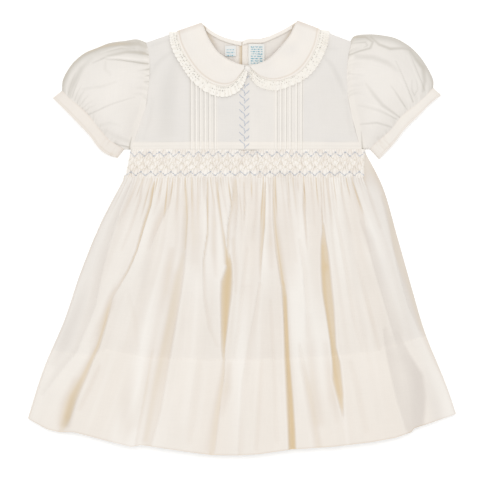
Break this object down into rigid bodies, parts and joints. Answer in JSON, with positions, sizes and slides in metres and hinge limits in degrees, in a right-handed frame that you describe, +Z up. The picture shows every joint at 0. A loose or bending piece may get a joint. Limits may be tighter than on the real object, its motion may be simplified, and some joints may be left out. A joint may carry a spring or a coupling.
{
  "type": "toddler dress",
  "caption": "Toddler dress laid flat: gathered skirt with deep hem, smocked band, pintucked bodice, puff sleeves and a lace-edged Peter Pan collar.",
  "frame": {"origin": "centre of the dress's bounding box on the surface it lies on", "axes": "+Z up out of the surface the dress lies on, +Y from hem to neck, +X to the viewer's right, so the garment's front faces +Z"},
  "size_m": [0.4792, 0.4856, 0.0214],
  "materials": {
    "batiste": "sheer ivory cotton batiste, matt, plain weave",
    "collar_batiste": "two layers of the same ivory batiste, so it is less sheer",
    "lace": "ivory cotton edging lace with square eyelets, matt",
    "smocking": "fine pleated ivory batiste with cream and grey-blue embroidery floss",
    "label": "white woven tape",
    "button": "pearly ivory, satin"
  },
  "bodies": {
    "root": {"skirt_front": "batiste", "skirt_back": "batiste", "bodice_front": "batiste", "bodice_back_left": "batiste", "bodice_back_right": "batiste", "smocked_front": "smocking", "sleeve_left": "batiste", "sleeve_right": "batiste", "cuff_left": "collar_batiste", "cuff_right": "collar_batiste", "collar_left": "collar_batiste", "collar_right": "collar_batiste", "collar_lace_left": "lace", "collar_lace_right": "lace", "neck_binding_left": "collar_batiste", "neck_binding_right": "collar_batiste", "label_size": "label", "label_care": "label", "back_button_1": "button", "back_button_2": "button", "back_button_3": "button"}
  },
  "joints": []
}
